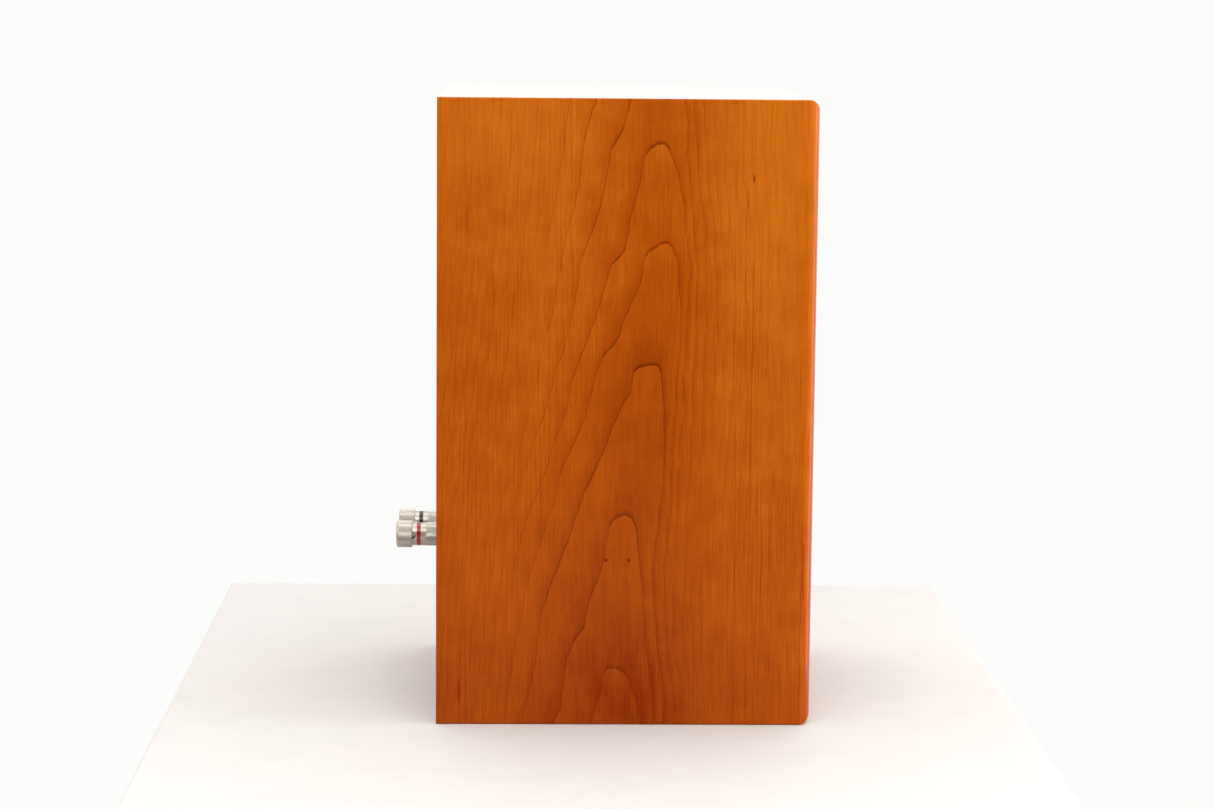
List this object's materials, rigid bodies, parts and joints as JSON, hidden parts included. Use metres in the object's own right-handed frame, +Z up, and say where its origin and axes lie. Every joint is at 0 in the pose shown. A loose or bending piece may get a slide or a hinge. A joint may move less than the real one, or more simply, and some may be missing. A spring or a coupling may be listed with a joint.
{
  "type": "bookshelf loudspeaker",
  "caption": "Two-way bookshelf loudspeaker in a cherry-veneered wooden cabinet, with a rear port and knurled metal binding posts.",
  "frame": {"origin": "centre of the cabinet's underside", "axes": "+Z up; -Y out of the front baffle, towards the listener; +Y out of the rear, along the posts; +X to the cabinet's own left"},
  "size_m": [0.205, 0.2314, 0.34],
  "materials": {
    "veneer": "cherry veneer under satin lacquer",
    "baffle_board": "cherry veneer under satin lacquer",
    "brace_board": "bare fibreboard",
    "black_cast": "black powder coat on a casting",
    "rubber_roll": "matt",
    "cone": "fine woven texture, matt",
    "dust_cap": "satin",
    "former": "bare foil",
    "copper": "enamelled copper wire",
    "spider": "resin-dipped cloth",
    "steel": "zinc plated",
    "magnet": "ferrite, ground",
    "tag_board": "phenolic board",
    "tinned": "tinned",
    "black_screw": "black oxide",
    "gasket": "closed-cell foam",
    "faceplate": "fine moulded texture",
    "dome": "coated silk",
    "chamber": "moulded",
    "port": "fine moulded texture",
    "terminal_plate": "moulded",
    "post_metal": "satin nickel plate",
    "red_ring": "moulded",
    "black_ring": "moulded",
    "bushing": "moulded",
    "board": "solder-masked laminate",
    "white_plastic": "moulded",
    "capacitor": "wrapped film",
    "resistor": "cement body",
    "wire_red": "insulation",
    "wire_black": "insulation",
    "wadding": "loose polyester wadding",
    "socket": "moulded"
  },
  "bodies": {
    "cabinet": {"left_side_panel": "veneer", "right_side_panel": "veneer", "top_panel": "veneer", "bottom_panel": "veneer", "front_baffle": "baffle_board", "rear_panel": "veneer", "shelf_brace": "brace_board", "grille_sockets": "socket", "woofer_basket": "black_cast", "woofer_gasket": "gasket", "woofer_screws": "black_screw", "woofer_surround": "rubber_roll", "woofer_spider": "spider", "woofer_top_plate": "steel", "woofer_magnet": "magnet", "woofer_yoke": "steel", "woofer_tag_board": "tag_board", "woofer_tags": "tinned", "woofer_tinsel_leads": "copper", "tweeter_faceplate": "faceplate", "tweeter_gasket": "gasket", "tweeter_screws": "black_screw", "tweeter_surround": "dome", "tweeter_top_plate": "steel", "tweeter_magnet": "magnet", "tweeter_yoke": "steel", "tweeter_rear_chamber": "chamber", "tweeter_tags": "tinned", "port_tube": "port", "terminal_plate": "terminal_plate", "terminal_plate_seal": "gasket", "terminal_plate_screws": "black_screw", "red_post_body": "post_metal", "red_post_ring": "red_ring", "black_post_body": "post_metal", "black_post_ring": "black_ring", "post_bushings": "bushing", "post_insulating_washers": "bushing", "post_nuts": "steel", "post_solder_tags": "tinned", "crossover_board": "board", "crossover_standoffs": "white_plastic", "crossover_screws": "steel", "crossover_coils": "copper", "crossover_bobbins": "white_plastic", "crossover_capacitors": "capacitor", "crossover_resistors": "resistor", "leads_positive": "wire_red", "leads_negative": "wire_black", "damping_pads": "wadding"},
    "woofer_diaphragm": {"woofer_cone": "cone", "woofer_dust_cap": "dust_cap", "woofer_coil_former": "former", "woofer_voice_coil": "copper"},
    "tweeter_diaphragm": {"tweeter_dome": "dome", "tweeter_voice_coil": "copper"},
    "red_clamp": {"red_post_washer": "post_metal"},
    "red_cap": {"red_post_cap": "post_metal"},
    "black_clamp": {"black_post_washer": "post_metal"},
    "black_cap": {"black_post_cap": "post_metal"}
  },
  "joints": [
    {"name": "woofer_excursion", "type": "slide", "parent": "cabinet", "child": "woofer_diaphragm", "axis": [0, -1, 0], "range_m": [-0.005, 0.005], "stiffness_N_per_m": 1000, "deforming": ["woofer_surround", "woofer_spider", "woofer_tinsel_leads"]},
    {"name": "tweeter_excursion", "type": "slide", "parent": "cabinet", "child": "tweeter_diaphragm", "axis": [0, -1, 0], "range_m": [-0.0003, 0.0003], "stiffness_N_per_m": 40, "deforming": ["tweeter_surround"]},
    {"name": "red_clamp_travel", "type": "slide", "parent": "cabinet", "child": "red_clamp", "axis": [0, 1, 0], "range_m": [0, 0.005]},
    {"name": "red_cap_turn", "type": "hinge", "parent": "red_clamp", "child": "red_cap", "pos_m": [-0.019, 0.1226, 0.09], "axis": [0, 1, 0], "range_deg": [0, 1800]},
    {"name": "black_clamp_travel", "type": "slide", "parent": "cabinet", "child": "black_clamp", "axis": [0, 1, 0], "range_m": [0, 0.005]},
    {"name": "black_cap_turn", "type": "hinge", "parent": "black_clamp", "child": "black_cap", "pos_m": [0.019, 0.1226, 0.09], "axis": [0, 1, 0], "range_deg": [0, 1800]}
  ],
  "couplings": [
    {"joint": "red_cap_turn", "follows": "red_clamp_travel", "rad_per_m": 6283.2},
    {"joint": "black_cap_turn", "follows": "black_clamp_travel", "rad_per_m": 6283.2}
  ]
}
